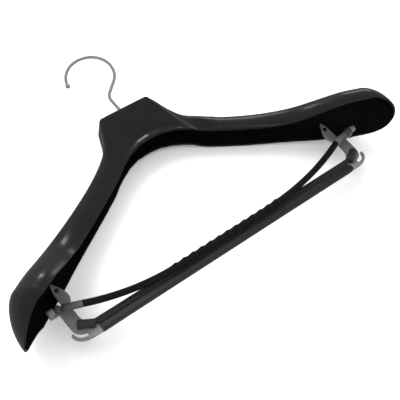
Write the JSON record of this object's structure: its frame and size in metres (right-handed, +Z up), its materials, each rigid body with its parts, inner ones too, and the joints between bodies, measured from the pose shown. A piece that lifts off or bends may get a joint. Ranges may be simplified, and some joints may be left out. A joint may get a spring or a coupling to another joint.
{
  "type": "trouser hanger",
  "caption": "Suit hanger with broad hollow shoulders, a swivelling wire hook and a trouser rail with a bowed locking bar that swings up on two brackets.",
  "frame": {"origin": "hang point: inside top of the hook's bow, on the shank's axis", "axes": "+X along the shoulders to the right seen from the front, +Y to the back, +Z up"},
  "size_m": [0.447, 0.0741, 0.2685],
  "materials": {
    "black_shell": "glossy black moulding",
    "bush_metal": "turned steel",
    "chrome_wire": "bright chrome wire",
    "washer_steel": "plain steel",
    "grey_bracket": "satin grey moulding",
    "pin_steel": "dark steel",
    "grey_rail": "satin dark grey moulding",
    "black_rod": "black, half gloss",
    "black_plug": "black, half gloss",
    "black_bar": "black, half gloss",
    "grey_bar_end": "satin grey moulding"
  },
  "bodies": {
    "hanger_body": {"body_shell": "black_shell", "hook_bush": "bush_metal", "left_bracket": "grey_bracket", "right_bracket": "grey_bracket", "bracket_pins": "pin_steel", "trouser_rail": "grey_rail", "rail_rod": "black_rod", "left_rail_plug": "black_plug", "right_rail_plug": "black_plug"},
    "hook": {"hook_wire": "chrome_wire", "hook_ball_tip": "chrome_wire", "hook_retaining_washer": "washer_steel"},
    "locking_bar": {"locking_bar": "black_bar", "left_bar_end": "grey_bar_end", "right_bar_end": "grey_bar_end"}
  },
  "joints": [
    {"name": "hook_swivel", "type": "hinge", "parent": "hanger_body", "child": "hook", "pos_m": [0, 0, -0.0796], "axis": [0, 0, 1], "continuous": true},
    {"name": "bar_swing", "type": "hinge", "parent": "hanger_body", "child": "locking_bar", "pos_m": [0, -0.0073, -0.2292], "axis": [-1, 0, 0], "range_deg": [0, 110]}
  ]
}
